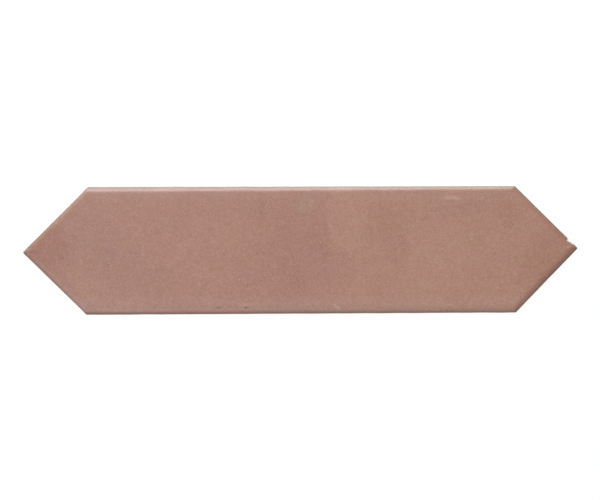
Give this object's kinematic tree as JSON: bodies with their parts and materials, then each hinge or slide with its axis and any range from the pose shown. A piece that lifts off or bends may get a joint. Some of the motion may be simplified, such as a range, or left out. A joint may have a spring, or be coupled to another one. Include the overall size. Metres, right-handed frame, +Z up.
{
  "type": "picket tile",
  "caption": "Long six-sided ceramic wall tile with a right-angled point at each end, a satin dusty-pink glaze on its cushioned face and adhesive keys on its back.",
  "frame": {"origin": "middle of the back plane, which lies on the floor", "axes": "+X from point to point, +Y across the tile, +Z up out of the glazed face"},
  "size_m": [0.3274, 0.075, 0.009],
  "materials": {
    "glaze": "satin dusty-pink glaze on the face, bare white biscuit on the lower sides and the back"
  },
  "bodies": {
    "root": {"picket_tile": "glaze"}
  },
  "joints": []
}
